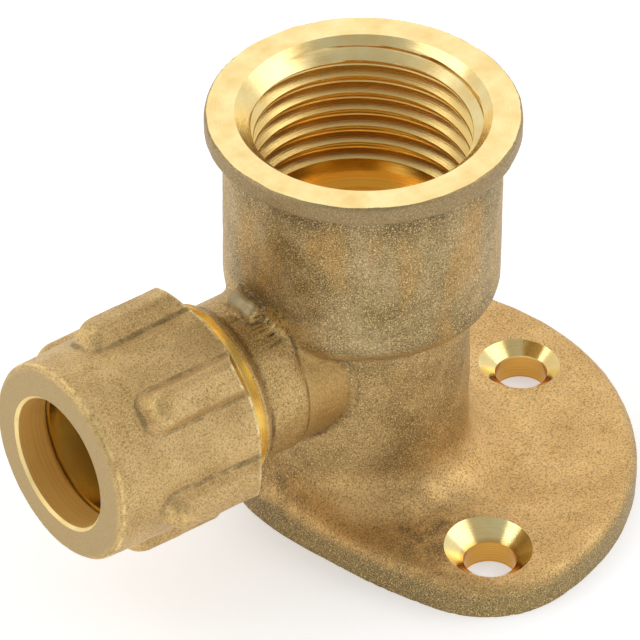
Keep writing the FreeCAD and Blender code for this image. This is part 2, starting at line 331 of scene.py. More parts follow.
def spaced(low, high, step, fine_step=0, fine_spans=()):
    """Places from low to high one step apart, and one fine step apart inside the fine spans."""
    places = [low - 2 * step]
    while places[-1] < high + 2 * step:
        fine = any(start <= places[-1] < end for start, end in fine_spans)
        places.append(places[-1] + (fine_step if fine else step))
    return np.array(places)


def crossed_cells(inside):
    """Cells of a grid that the surface passes through, and the number of each."""
    shape = np.array(inside.shape) - 1
    corners = sum(inside[i:i + shape[0], j:j + shape[1], k:k + shape[2]].astype(np.int8)
                  for i, j, k in product((0, 1), repeat=3))
    crossed = (corners > 0) & (corners < 8)
    cells = np.argwhere(crossed)
    number = np.full(crossed.shape, -1)
    number[crossed] = np.arange(len(cells))
    return cells, number


def crossing_middles(values, cells):
    """Middle of the places where the surface crosses the edges of each cell, counted in cells."""
    units = np.eye(3, dtype=int)
    total = np.zeros((len(cells), 3))
    crossings = np.zeros((len(cells), 1))
    for axis in range(3):
        side, other = units[(axis + 1) % 3], units[(axis + 2) % 3]
        for first, second in product((0, 1), repeat=2):
            start = first * side + second * other
            before = values[tuple((cells + start).T)]
            after = values[tuple((cells + start + units[axis]).T)]
            crosses = ((before < 0) != (after < 0))[:, None]
            share = before / np.where(before == after, 1, before - after)
            total += crosses * (start + share[:, None] * units[axis])
            crossings += crosses
    return cells + total / crossings


def crossing_quads(inside, number):
    """Quads round the edges of the grid that cross the surface, all facing out."""
    units = np.eye(3, dtype=int)
    quads = []
    for axis in range(3):
        side, other = units[(axis + 1) % 3], units[(axis + 2) % 3]
        steps = inside.shape[axis] - 1
        leaving = np.take(inside, range(steps), axis) != np.take(inside, range(1, steps + 1), axis)
        edges = np.argwhere(leaving)
        ring = [number[tuple((edges - step_back).T)] for step_back in (0 * side, side, side + other, other)]
        ring = np.stack(ring, axis=1)
        outwards = inside[tuple(edges.T)][:, None]
        quads.append(np.where(outwards, ring, ring[:, ::-1]))
    return np.concatenate(quads)


def surface_net(distance, axes):
    """Points and quads of a net on the zero surface of a distance, on a grid with the given places."""
    values = distance(*np.meshgrid(*axes, indexing="ij", sparse=True))
    inside = values < 0
    cells, number = crossed_cells(inside)
    middles = crossing_middles(values, cells)
    points = [np.interp(middles[:, axis], np.arange(len(axes[axis])), axes[axis]) for axis in range(3)]
    return np.stack(points, axis=1), crossing_quads(inside, number)


def gradient(distance, points):
    """Direction in which the distance grows fastest, at each point."""
    slopes = []
    for unit in np.eye(3) * slope_nudge:
        slopes.append((distance(*(points + unit).T) - distance(*(points - unit).T)) / (2 * slope_nudge))
    return np.stack(slopes, axis=1)


def onto_surface(distance, points):
    """Points moved along the gradient until they lie on the zero surface."""
    for _ in range(settling_rounds):
        slope = gradient(distance, points)
        steepness = np.maximum((slope ** 2).sum(axis=1), least_slope ** 2)
        points = points - (distance(*points.T) / steepness)[:, None] * slope
    return points


def evened(points, quads):
    """Each point moved half-way to the middle of its neighbours."""
    total = np.zeros_like(points)
    count = np.zeros((len(points), 1))
    for corner in range(4):
        here, following = quads[:, corner], quads[:, (corner + 1) % 4]
        for one, neighbour in ((here, following), (following, here)):
            np.add.at(total, one, points[neighbour])
            np.add.at(count, one, 1)
    return (points + total / count) / 2


def waviness(points, longest, seed):
    """Smooth unevenness between 0 and 1, from waves in seeded directions."""
    source = np.random.default_rng(seed)
    directions = source.normal(size=(wave_count, 3))
    directions /= np.linalg.norm(directions, axis=1)[:, None]
    lengths = longest * source.uniform(shortest_wave_share, 1.0, wave_count)
    phases = source.uniform(0, TURN, wave_count)
    swing = np.sin(points @ (directions * (TURN / lengths)[:, None]).T + phases).sum(axis=1)
    return 0.5 + 0.5 * np.tanh(swing / math.sqrt(wave_count))


def forged_skin(distance, axes, unevenness, seed):
    """Net on a forged surface, settled on it and left slightly uneven, always inwards."""
    points, quads = surface_net(distance, axes)
    for _ in range(settling_rounds):
        points = onto_surface(distance, evened(onto_surface(distance, points), quads))
    slope = gradient(distance, points)
    slope /= np.maximum(np.linalg.norm(slope, axis=1), least_slope)[:, None]
    broad, close = unevenness
    depth = broad * waviness(points, broad_wave, seed) + close * waviness(points, close_wave, seed + 1)
    return points - depth[:, None] * slope, quads


# Turned shapes

def strip(lower, upper):
    """Quads between two rows of point numbers."""
    return list(zip(lower[:-1], lower[1:], upper[1:], upper[:-1]))


def looped(row):
    """Row of point numbers that comes back to its first point."""
    return np.append(row, row[0])


class Lathe:
    """Closed shape about +Z, built ring by ring between two flat ends."""

    def __init__(self, segments=fine_segments, start_angle=0.0):
        self.angles = start_angle + np.arange(segments) * TURN / segments
        self.points = []
        self.faces = []
        self.row = None

    def numbers(self, radius, height):
        """Numbers of a new row of points round the axis."""
        first = len(self.points) * len(self.angles)
        parts = np.broadcast_arrays(radius * np.cos(self.angles), radius * np.sin(self.angles), height)
        self.points.append(np.stack(parts, axis=1))
        return np.arange(first, first + len(self.angles))

    def ring(self, radius, height):
        row = self.numbers(radius, height)
        if self.row is None:
            self.faces.append(row)
        else:
            self.faces += strip(looped(self.row), looped(row))
        self.row = row

    def band(self, radii, heights, next_ring):
        """Helical rows, each of which goes on in the row one pitch above, and the plain ring after them."""
        rows = [self.numbers(radius, height) for radius, height in zip(radii, heights)]
        start_seam = [row[0] for row in rows[:thread_rows + 1]]
        self.faces += strip(self.row, rows[0])
        self.faces.append([self.row[-1], self.row[0], *start_seam, rows[0][-1]])
        for lower, upper in zip(rows[:-1], rows[1:]):
            self.faces += strip(lower, upper)
        for index in range(len(rows) - 1 - thread_rows):
            above, top = rows[index + thread_rows], rows[index + thread_rows + 1]
            self.faces.append((rows[index][-1], above[0], top[0], rows[index + 1][-1]))
        self.row = self.numbers(*next_ring)
        end_seam = [row[-1] for row in rows[-1 - thread_rows:]]
        self.faces += strip(rows[-1], self.row)
        self.faces.append([self.row[-1], self.row[0], rows[-1][0], *end_seam])

    def shape(self):
        return np.concatenate(self.points), self.faces + [self.row]


def on_branch(shape):
    """Shape built about +Z, moved onto the branch so that its height is a reach along -X."""
    points, faces = shape
    return np.stack([-points[:, 2], points[:, 1], points[:, 0] + branch_height], axis=1), faces


def helical_groove(bottom, turns, pitch, half_widths, fades_out):
    """Heights of helical rows above a bottom, and the share of the groove's depth that each point has."""
    row = np.arange(turns * thread_rows + 1)[:, None]
    around = np.arange(fine_segments)[None, :] / fine_segments
    from_middle = np.abs((row / thread_rows) % 1 - 0.5) * pitch
    along = row // thread_rows + around
    half_open, half_root = half_widths
    share = np.clip((half_open - from_middle) / (half_open - half_root), 0, 1)
    share = share * np.clip(along / thread_run_out, 0, 1)
    if fades_out:
        share = share * np.clip((turns - along) / thread_run_out, 0, 1)
    heights = bottom + pitch * (row / thread_rows + around)
    return heights, share


def socket_tool():
    """Everything that is cut from the mouth: chamfer, thread, plain bore, floor and drilled waterway."""
    floor = overall_height - socket_depth
    bottom = overall_height - socket_thread_depth + socket_start_half - socket_pitch / 2
    turns = math.ceil((overall_height - bottom) / socket_pitch)
    heights, share = helical_groove(bottom, turns, socket_pitch, socket_groove_halves, False)
    chamfer = socket_mouth - overall_height + heights
    radii = np.maximum(socket_crest + (socket_root - socket_crest) * share, chamfer)
    top = heights.max() + allowance
    lathe = Lathe(start_angle=socket_thread_start)
    lathe.ring(drill_tip_radius, branch_height - waterway_overrun - drill_point)
    lathe.ring(waterway_radius, branch_height - waterway_overrun)
    lathe.ring(waterway_radius, floor - socket_step_depth)
    lathe.ring(socket_step_radius, floor - socket_step_depth)
    lathe.ring(socket_step_radius, floor)
    lathe.ring(socket_crest, floor)
    lathe.band(radii, heights, (socket_mouth - overall_height + top, top))
    return lathe.shape()


def spigot_tool():
    """What is turned away outside the spigot: end face, chamfer, thread, relief and shoulder."""
    outside = 2 * collar_radius
    thread_end = spigot_reach - spigot_chamfer
    turns = int((thread_end - relief_end) / branch_pitch) - 1
    heights, share = helical_groove(relief_end, turns, branch_pitch, branch_groove_halves, True)
    lathe = Lathe()
    lathe.ring(outside, spigot_reach + 2 * allowance)
    lathe.ring(outside, shoulder_reach)
    lathe.ring(relief_radius, shoulder_reach)
    lathe.ring(relief_radius, relief_end - (spigot_radius - relief_radius))
    lathe.ring(spigot_radius, relief_end - thread_gap)
    lathe.band(spigot_radius - (spigot_radius - spigot_root) * share, heights, (spigot_radius, thread_end))
    lathe.ring(spigot_radius - spigot_chamfer, spigot_reach)
    lathe.ring(tool_cap_radius, spigot_reach)
    return on_branch(lathe.shape())


def branch_bore_tool():
    """Passage, pipe stop, pipe bore and olive seat along the branch."""
    seat_depth = (olive_seat_radius - pipe_radius) / math.tan(olive_seat_half)
    lathe = Lathe(coarse_segments)
    lathe.ring(branch_waterway_radius, 0)
    lathe.ring(branch_waterway_radius, pipe_stop_reach)
    lathe.ring(pipe_radius, pipe_stop_reach)
    lathe.ring(pipe_radius, spigot_reach - seat_depth)
    lathe.ring(olive_seat_radius, spigot_reach)
    lathe.ring(olive_seat_radius + allowance, spigot_reach + allowance)
    return on_branch(lathe.shape())


def screw_hole_tool(place, countersink_radius):
    """Countersunk hole through the plate."""
    slope = math.tan(countersink_half)
    lathe = Lathe()
    lathe.ring(hole_radius, -2 * allowance)
    lathe.ring(hole_radius, plate_thickness - (countersink_radius - hole_radius) / slope)
    lathe.ring(countersink_radius + allowance * slope, plate_thickness + allowance)
    points, faces = lathe.shape()
    return points + np.array([place.x, place.y, 0]), faces


def facing_tool(bottom, top):
    """Wide disc that planes off everything between two heights."""
    lathe = Lathe(coarse_segments)
    lathe.ring(2 * plate_radius, bottom)
    lathe.ring(2 * plate_radius, top)
    return lathe.shape()


def nut_bore_tool():
    """Pipe mouth, lip bore, olive seat, thread and its entry."""
    seat = nut_front - nut_lip
    thread_end = seat - (nut_thread_crest - pipe_radius)
    bottom = relief_end + branch_pitch / 2
    turns = int((thread_end - bottom) / branch_pitch) - 1
    heights, share = helical_groove(bottom, turns, branch_pitch, branch_groove_halves, True)
    radii = nut_thread_crest + (nut_thread_root - nut_thread_crest) * share
    lathe = Lathe()
    lathe.ring(nut_thread_crest + 2 * nut_entry_chamfer, nut_rear - nut_entry_chamfer)
    lathe.ring(nut_thread_crest, nut_rear + nut_entry_chamfer)
    lathe.band(radii, heights, (nut_thread_crest, thread_end))
    lathe.ring(pipe_radius, seat)
    lathe.ring(pipe_radius, nut_front - nut_mouth_chamfer)
    lathe.ring(pipe_radius + 2 * nut_mouth_chamfer, nut_front + nut_mouth_chamfer)
    return on_branch(lathe.shape())


def nut_rear_tool():
    """Rear face of the nut, and the cone that bevels the ends of its ribs."""
    outside = 2 * rib_radius
    beyond = nut_rear + 2 * nut_rear_cone_run
    lathe = Lathe()
    lathe.ring(tool_cap_radius, nut_rear)
    lathe.ring(nut_rear_edge, nut_rear)
    lathe.ring(nut_rear_edge + 2 * nut_rear_cone_run * nut_rear_widening, beyond)
    lathe.ring(outside, beyond)
    lathe.ring(outside, nut_rear - 2 * allowance)
    return on_branch(lathe.shape())


# Mesh objects

def placed(name, data):
    """New object in the scene."""
    made = bpy.data.objects.new(name, data)
    bpy.context.scene.collection.objects.link(made)
    return made


def mesh_object(name, points, faces, finishes, finish):
    """Object in metres from points in millimetres, with one finish of a list on every face."""
    mesh = bpy.data.meshes.new(name)
    mesh.from_pydata((np.asarray(points) * MM).tolist(), [], [list(map(int, face)) for face in faces])
    for material in finishes:
        mesh.materials.append(material)
    index = list(finishes).index(finish)
    mesh.polygons.foreach_set("material_index", np.full(len(mesh.polygons), index))
    return placed(name, mesh)


def face_outwards(mesh):
    """Turn the faces of a closed mesh to face out."""
    work = bmesh.new()
    work.from_mesh(mesh)
    bmesh.ops.recalc_face_normals(work, faces=work.faces)
    work.to_mesh(mesh)
    work.free()


def cut(piece, shape, finish):
    """Cut a shape out of a piece; the new faces take one of the piece's finishes."""
    tool = mesh_object("tool", *shape, piece.data.materials, finish)
    face_outwards(tool.data)
    modifier = piece.modifiers.new("cut", "BOOLEAN")
    modifier.operation = "DIFFERENCE"
    modifier.solver = "MANIFOLD"
    modifier.object = tool
    depsgraph = bpy.context.evaluated_depsgraph_get()
    piece.data = bpy.data.meshes.new_from_object(piece.evaluated_get(depsgraph))
    piece.modifiers.clear()
    bpy.data.objects.remove(tool)


def mark_bends(piece, distance):
    """Keep how sharply the forged surface bends at each point: above 0 on edges, below 0 in hollows."""
    places = np.empty(len(piece.data.vertices) * 3)
    piece.data.vertices.foreach_get("co", places)
    points = places.reshape(-1, 3) / MM
    middle = distance(*points.T)
    bend = np.zeros(len(points))
    for unit in np.eye(3) * bend_nudge:
        bend += distance(*(points + unit).T) + distance(*(points - unit).T) - 2 * middle
    attribute = piece.data.attributes.new("bend", "FLOAT", "POINT")
    attribute.data.foreach_set("value", bend / bend_nudge ** 2)


def smooth_with_edges(piece):
    """Smooth shading, with an edge where the finish changes or a machined face turns sharply."""
    piece.data.shade_smooth()
    work = bmesh.new()
    work.from_mesh(piece.data)
    bmesh.ops.dissolve_degenerate(work, dist=shortest_edge * MM, edges=work.edges)
    for edge in work.edges:
        first, second = edge.link_faces
        changes = first.material_index != second.material_index
        machined = first.material_index != FORGED
        edge.smooth = not (changes or (machined and edge.calc_face_angle(0) > sharp_angle))
    work.to_mesh(piece.data)
    work.free()


# Colours

def colour(red, green, blue):
    """Scene colour from the eight-bit values of a display."""
    def linear(value):
        share = value / 255
        return share / 12.92 if share <= 0.04045 else ((share + 0.055) / 1.055) ** 2.4
    return linear(red), linear(green), linear(blue), 1.0


# Two tones that mingle in each region of the forged skin
barrel_tones = colour(142, 121, 78), colour(186, 164, 122)
neck_tones = colour(154, 127, 80), colour(194, 163, 108)
branch_tones = colour(182, 148, 90), colour(212, 178, 118)
plate_tones = colour(216, 172, 106), colour(240, 197, 130)
nut_tones = colour(196, 163, 106), colour(222, 188, 130)

# Tones of single places on it
streak_ochre = colour(190, 150, 86)
patch_ochre = colour(198, 160, 96)
# Painted shade on the plate's rounded edge
plate_edge_shade = colour(154, 132, 86)
rim_grey = colour(160, 138, 100)
facet_grey = colour(166, 149, 113)
nut_face_grey = colour(186, 160, 112)

# Grain and wear, with painted glints, highlights, shade in hollows and shadows
grain_dark = colour(98, 76, 44)
# Light specks of the grain: painted glints of its tiny facets
grain_glint = colour(244, 214, 150)
worn_edge = colour(250, 220, 146)
# Painted highlight on the ribs' noses
nose_highlight = colour(240, 206, 132)
# Painted highlight along the nut's rear edge
rear_edge_highlight = colour(255, 236, 176)
fold_bright = colour(236, 202, 128)
fold_dark = colour(62, 46, 24)
# Painted shade that darkens the hollows and creases of the forged skin
hollow_shade = colour(62, 52, 38)
# Painted shade in the hollow between the web and the barrel
web_hollow_shade = colour(70, 54, 32)
# Painted shadow on the barrel under the rim's overhang
rim_shadow = colour(92, 80, 56)
# Painted shade on the underside of the barrel's rounded foot
foot_shade = colour(100, 84, 54)
# Painted shadow on the plate under the branch and nut
plate_shadow = colour(86, 74, 52)

# Machined brass
pale_brass = colour(255, 239, 174)
bright_brass = colour(254, 236, 174)
deep_brass = colour(230, 180, 90)
# Amber of the painted shade deep inside the bores and holes
bore_shade_ambers = colour(255, 232, 156), colour(252, 204, 116)
hole_shade_ambers = colour(226, 178, 92), colour(204, 148, 62)

# Where the tones begin and where they are full, in millimetres
neck_tone_heights = (barrel_bottom, barrel_bottom - 2.0)
branch_tone_places = (-9.5, -11.5)
branch_tone_heights = (25.5, 24.5)
plate_tone_heights = (8.0, 4.6)
# Painted shade on the plate's edge
plate_edge_heights = (3.2, 2.1)
rim_heights = (rim_bottom - 0.1, rim_bottom)
# Painted shadow under the rim
rim_shadow_heights = (rim_bottom - 3.2, rim_bottom - 1.3)
# Painted shade round the barrel's foot
foot_tops = (barrel_bottom + 3.0, barrel_bottom + 0.6)
foot_bottoms = (barrel_bottom - 1.2, barrel_bottom)
foot_radii = (1.03 * barrel_base_radius, barrel_base_radius)
nut_face_places = (0.2 - nut_front, 0.1 - nut_front)
# Painted highlight on the ribs' noses
nose_radii = (nut_front_radius + 0.4, nut_front_radius + 0.9)
nose_places = (rib_front_offset - nut_front + 2.4, rib_front_offset - nut_front + 1.0)
# Painted highlight along the nut's rear edge
rear_highlight_depths = (-0.4, -0.2)

# Painted shade inside the bores, in amber: where it begins and is full, and its two tones
socket_inside = ((overall_height - 1.8, overall_height - 3.4), bore_shade_ambers)
nut_inside = ((0.3 - nut_front, 0.6 - nut_front), bore_shade_ambers)
hole_inside = ((plate_thickness - 1.0, plate_thickness - 1.4), hole_shade_ambers)

# Smooth patch beside the branch's root
patch_places = (-patch_reach, patch_edge - patch_reach)
patch_sides = (0.55 * branch_radius, 0.7 * branch_radius)
patch_tops = (barrel_bottom + 2.0, barrel_bottom + 1.0)
patch_bottoms = (branch_height - branch_radius + 3.0, branch_height - branch_radius + 4.0)
patch_roots = (neck_radius + 0.1, neck_radius + 0.4)

# Trimmed face of the web
facet_plane = branch_height + branch_radius + barrel_base_radius + web_leg
facet_edge = 0.1
facet_depths = (facet_plane - 2 * web_round, facet_plane - web_round)
facet_sides = (web_half_width, web_half_width - web_round)
facet_places = (-web_front - facet_edge, -web_front)
facet_tops = (web_top + 2 * facet_edge, web_top + facet_edge / 2)

# Round marks: a middle, and the distances from it at which the mark begins and is full
# Middle of the painted shade in the hollow above the web
web_hollow = ((-12.2, -0.9, 26.2), (1.9, 0.7))
web_folds = ((-12.3, -3.1, 24.1), (2.3, 0.9))
# Painted shadow on the plate under the branch, and painted shade beside the front hole
shadow_under_branch = ((-9.8, -1.0, 4.0), (6.0, 2.0))
shade_beside_hole = ((-3.0, -14.5, 3.5), (8.0, 2.0))

# Shares of a mark's colour, and of smoothness where the grain fades
streak_share = 0.7
patch_share, patch_smoothness = 0.8, 0.5
rim_smoothness = 0.55
nut_face_smoothness = 0.85
# Shares of painted shade by the web, under the rim and at the foot, of the plate's painted shadow and of the
# noses' painted highlight
web_shade_share = 0.5
rim_shadow_share = 0.8
foot_shade_share = 0.5
plate_shadow_share = 0.7
nose_highlight_share = 0.6
body_contrast, body_wear = 1.0, 0.45
nut_contrast, nut_wear = 0.8, 0.95

# Forged skin: bends of worn edges and of hollows with painted shade, size and depth of the grain in
# millimetres
worn_bends = (1.6, 3.4)
hollow_bends = (-0.6, -1.8)
hollow_share = 0.65
grain_size, fine_grain_size, dimple_size = 0.18, 0.12, 0.9
dark_grain, dark_grain_share = (0.52, 0.36), 0.6
# The light specks are painted glints of the grain's facets
glint_limits, glint_share = (0.53, 0.66), 0.85
forged_metallic = 0.8
forged_roughness = (0.62, 0.4)
dimple_depth = 0.035
fine_grain_depth = 0.03
crease_size = 1.2
crease_crowding = (0.35, 3.4, 1.8)
bright_creases = (0.44, 0.56)
dark_creases = (0.44, 0.36)
streak_size = 3.6
streak_crowding = (1.0, 1.0, 0.35)
streak_limits = (0.52, 0.66)

# Machined brass: width of the tool's rings, and depth of the rings and of the skin under them
ring_width = 0.11
ring_depth = 0.006
tone_limits = (0.35, 0.7)
ring_share = 0.2
stain_size = 2.5
stain_share = 0.5
amber_limits = (0.4, 0.6)
turned_skin_size = 0.4
turned_skin_depth = 0.004
smoothest, roughest = 0.8, 1.3

# Lowest and highest values that a noise commonly takes
noise_limits = (0.3, 0.7)

# Numbers of a colour mix's sockets
MIX_SHARE, MIX_FIRST, MIX_SECOND, MIX_RESULT = 0, 6, 7, 2


# Materials

class Nodes:
    """Node tree of a material or a world, with short calls for the nodes that it needs."""

    def __init__(self, owner):
        owner.use_nodes = True
        self.tree = owner.node_tree

    def node(self, kind, inputs=None, **settings):
        made = self.tree.nodes.new(kind)
        for name, value in settings.items():
            setattr(made, name, value)
        for name, value in (inputs or {}).items():
            self.feed(made.inputs[name], value)
        return made

    def feed(self, socket, value):
        if isinstance(value, bpy.types.NodeSocket):
            self.tree.links.new(value, socket)
        else:
            socket.default_value = value

    def math(self, operation, first, second=0.0):
        return self.node("ShaderNodeMath", {0: first, 1: second}, operation=operation).outputs[0]

    def times(self, first, *others):
        """Product of several values."""
        for other in others:
            first = self.math("MULTIPLY", first, other)
        return first

    def span(self, value, low, high, start=0.0, end=1.0, **settings):
        """Value carried from low..high to start..end, and held at both ends."""
        inputs = {"Value": value, "From Min": low, "From Max": high, "To Min": start, "To Max": end}
        return self.node("ShaderNodeMapRange", inputs, clamp=True, **settings).outputs["Result"]


class Recipe(Nodes):
    """Nodes of one material: places on the part, noises, marks and colours."""

    def __init__(self, name):
        self.material = bpy.data.materials.new(name)
        super().__init__(self.material)
        self.shader = self.tree.nodes["Principled BSDF"]
        self.place = self.node("ShaderNodeTexCoord").outputs["Object"]
        parts = self.node("ShaderNodeSeparateXYZ", {0: self.place})
        self.x, self.y, self.z = [parts.outputs[axis] for axis in "XYZ"]

    def set(self, name, value):
        self.feed(self.shader.inputs[name], value)

    def length(self, first, second):
        """Length of two offsets at a right angle."""
        squares = self.math("ADD", self.times(first, first), self.times(second, second))
        return self.math("SQRT", squares)

    def from_socket_axis(self):
        return self.length(self.x, self.y)

    def from_branch_axis(self):
        return self.length(self.y, self.math("SUBTRACT", self.z, branch_height * MM))

    def noise(self, size, detail=2.0, roughness=0.5, crowding=(1.0, 1.0, 1.0)):
        """Noise whose features are about size millimetres across, crowded or drawn out along each axis."""
        inputs = {0: self.place, 1: crowding}
        place = self.node("ShaderNodeVectorMath", inputs, operation="MULTIPLY").outputs[0]
        inputs = {"Vector": place, "Scale": 1 / (size * MM), "Detail": detail, "Roughness": roughness}
        return self.node("ShaderNodeTexNoise", inputs).outputs["Fac"]

    def patches(self, size, low=0.36, high=0.62, least=0.0, detail=3.0, roughness=0.6):
        """Soft patches about size millimetres across: least where the noise is low and 1 where it is high."""
        return self.span(self.noise(size, detail, roughness), low, high, least)

    def zone(self, value, limits):
        """0 at the first of two places in millimetres, 1 at the second and a ramp between them."""
        begins, full = limits
        return self.span(value, begins * MM, full * MM)

    def near(self, mark):
        """Share of a round mark at each point."""
        middle, limits = mark
        inputs = {0: self.place, 1: Vector(middle) * MM}
        distance = self.node("ShaderNodeVectorMath", inputs, operation="DISTANCE").outputs["Value"]
        return self.zone(distance, limits)

    def mix(self, share, first, second):
        """Colour between two, with the share of the second."""
        inputs = {MIX_SHARE: share, MIX_FIRST: first, MIX_SECOND: second}
        return self.node("ShaderNodeMix", inputs, data_type="RGBA").outputs[MIX_RESULT]

    def bump(self, height, depth, below=None):
        """Bump whose full height is depth millimetres, over another bump."""
        inputs = {"Height": height, "Distance": depth * MM, "Strength": 1.0}
        if below is not None:
            inputs["Normal"] = below
        return self.node("ShaderNodeBump", inputs).outputs["Normal"]


def edge_shares(skin):
    """Shares of worn edge and of painted shade in hollows at each point, both broken up by noise."""
    bend = skin.node("ShaderNodeAttribute", attribute_name="bend").outputs["Fac"]
    broken = skin.patches(size=0.8, high=0.6)
    patchy = skin.patches(size=2.2, low=0.38, high=0.6, least=0.2)
    worn = skin.times(skin.span(bend, *worn_bends), broken)
    hollow = skin.times(skin.span(bend, *hollow_bends), patchy)
    return worn, hollow


def finish_forging(skin, tone, smooth, contrast, wear):
    """Grain with painted glints, worn edges and painted shade in hollows over a tone; the grain fades where
    the surface is smooth.
    """
    grain = skin.noise(grain_size, detail=3.0, roughness=0.65)
    fine = skin.noise(fine_grain_size, detail=2.0, roughness=0.6)
    rough = skin.math("SUBTRACT", 1.0, smooth)
    worn, hollow = edge_shares(skin)
    dark = skin.times(skin.span(grain, *dark_grain), rough, dark_grain_share * contrast)
    # Light specks painted as glints of the grain's facets
    light = skin.times(skin.span(fine, *glint_limits), rough, glint_share * contrast)
    tone = skin.mix(dark, tone, grain_dark)
    tone = skin.mix(light, tone, grain_glint)
    # Painted shade in the hollows and creases
    tone = skin.mix(skin.times(hollow, hollow_share * contrast), tone, hollow_shade)
    tone = skin.mix(skin.times(worn, rough, wear), tone, worn_edge)
    skin.set("Base Color", tone)
    skin.set("Metallic", forged_metallic)
    skin.set("Roughness", skin.span(grain, *noise_limits, *forged_roughness))
    dimples = skin.bump(skin.noise(dimple_size), dimple_depth)
    skin.set("Normal", skin.bump(skin.times(fine, rough), fine_grain_depth, dimples))
    return skin.material


def mark_plate_shadow(skin, tone):
    """Painted shadow on the plate, patchy: below the branch, and beside the front hole."""
    patchy = skin.patches(size=1.6, least=0.15, detail=4.0, roughness=0.65)
    for mark in (shadow_under_branch, shade_beside_hole):
        tone = skin.mix(skin.times(skin.near(mark), patchy, plate_shadow_share), tone, plate_shadow)
    return tone


def mark_foot(skin, tone):
    """Painted shade round the barrel's rounded foot, above the neck."""
    foot = skin.times(skin.zone(skin.z, foot_tops), skin.zone(skin.z, foot_bottoms))
    on_barrel = skin.zone(skin.from_socket_axis(), foot_radii)
    patchy = skin.patches(size=3.0, least=0.35)
    return skin.mix(skin.times(foot, on_barrel, patchy, foot_shade_share), tone, foot_shade)


def mark_rim(skin, tone):
    """Smoother, greyer band round the rim, and painted shadow on the barrel below it."""
    rim = skin.zone(skin.z, rim_heights)
    patchy = skin.patches(size=3.0, least=0.25)
    # Painted shadow under the rim
    under_rim_shadow = skin.times(skin.zone(skin.z, rim_shadow_heights), patchy, rim_shadow_share)
    tone = skin.mix(under_rim_shadow, tone, rim_shadow)
    return skin.mix(rim, tone, rim_grey), skin.times(rim, rim_smoothness)


def mark_folds(skin, tone):
    """Painted shade in the hollow between the web and the barrel, and the crumpled folds where the web tore.
    """
    tone = skin.mix(skin.times(skin.near(web_hollow), web_shade_share), tone, web_hollow_shade)
    folds = skin.near(web_folds)
    creases = skin.noise(crease_size, detail=3.0, roughness=0.6, crowding=crease_crowding)
    tone = skin.mix(skin.times(folds, skin.span(creases, *bright_creases)), tone, fold_bright)
    return skin.mix(skin.times(folds, skin.span(creases, *dark_creases)), tone, fold_dark)


def mark_facet(skin, tone):
    """Grey trimmed face of the web."""
    facet = skin.times(
        skin.zone(skin.math("SUBTRACT", skin.z, skin.x), facet_depths),
        skin.zone(skin.math("ABSOLUTE", skin.y), facet_sides),
        skin.zone(skin.x, facet_places),
        skin.zone(skin.z, facet_tops))
    return skin.mix(facet, tone, facet_grey), facet


def mark_patch(skin, tone):
    """Smooth ochre patch on each side of the branch's root."""
    patch = skin.times(
        skin.zone(skin.x, patch_places),
        skin.zone(skin.math("ABSOLUTE", skin.y), patch_sides),
        skin.zone(skin.z, patch_tops),
        skin.zone(skin.z, patch_bottoms),
        skin.zone(skin.from_socket_axis(), patch_roots))
    tone = skin.mix(skin.times(patch, patch_share), tone, patch_ochre)
    return tone, skin.times(patch, patch_smoothness)


def body_tones(skin):
    """Olive barrel with ochre streaks, browner neck, tan branch and warm plate with painted shade on its
    edge.
    """
    blotches = skin.patches(size=4.5, high=0.64)
    streaks = skin.span(skin.noise(streak_size, crowding=streak_crowding), *streak_limits)
    tone = skin.mix(blotches, *barrel_tones)
    tone = skin.mix(skin.times(streaks, streak_share), tone, streak_ochre)
    on_neck = skin.zone(skin.z, neck_tone_heights)
    beside_barrel = skin.zone(skin.x, branch_tone_places)
    on_branch_end = skin.times(beside_barrel, skin.zone(skin.z, branch_tone_heights))
    on_plate = skin.zone(skin.z, plate_tone_heights)
    for share, tones in ((on_neck, neck_tones), (on_branch_end, branch_tones), (on_plate, plate_tones)):
        tone = skin.mix(share, tone, skin.mix(blotches, *tones))
    # Painted shade on the plate's rounded edge
    return skin.mix(skin.zone(skin.z, plate_edge_heights), tone, plate_edge_shade)


def forged_body():
    """Skin of the body: its tones, its painted shade and shadows, and the marks of the die, of trimming and
    of handling.
    """
    skin = Recipe("forged_body")
    tone = mark_plate_shadow(skin, body_tones(skin))
    tone = mark_foot(skin, tone)
    tone, rim = mark_rim(skin, tone)
    tone = mark_folds(skin, tone)
    tone, facet = mark_facet(skin, tone)
    tone, patch = mark_patch(skin, tone)
    smooth = skin.math("MAXIMUM", skin.math("MAXIMUM", facet, patch), rim)
    return finish_forging(skin, tone, smooth, body_contrast, body_wear)


def mark_rear_highlight(skin, tone):
    """Painted highlight along the nut's rear edge, beside the turned bevel."""
    edge = (nut_rear * nut_rear_widening - nut_rear_edge) * MM
    cone = skin.math("ADD", skin.times(skin.x, nut_rear_widening), edge)
    outside = skin.math("ADD", skin.from_branch_axis(), cone)
    broken = skin.patches(size=1.2, low=0.35, high=0.6, detail=2.0, roughness=0.5)
    return skin.mix(skin.times(skin.zone(outside, rear_highlight_depths), broken), tone, rear_edge_highlight)


def mark_nose_highlights(skin, tone):
    """Painted highlight on the noses of the ribs."""
    lit_noses = skin.times(
        skin.zone(skin.from_branch_axis(), nose_radii),
        skin.zone(skin.x, nose_places),
        skin.patches(size=0.9, low=0.42, high=0.6))
    return skin.mix(skin.times(lit_noses, nose_highlight_share), tone, nose_highlight)


def forged_nut():
    """Skin of the nut: tan barrel, ribs with a painted highlight on their noses, a painted highlight on its
    rear edge, and a smoother, greyer front face.
    """
    skin = Recipe("forged_nut")
    blotches = skin.patches(size=4.0, high=0.64)
    tone = mark_nose_highlights(skin, skin.mix(blotches, *nut_tones))
    tone = mark_rear_highlight(skin, tone)
    face = skin.zone(skin.x, nut_face_places)
    tone = skin.mix(face, tone, nut_face_grey)
    return finish_forging(skin, tone, skin.times(face, nut_face_smoothness), nut_contrast, nut_wear)


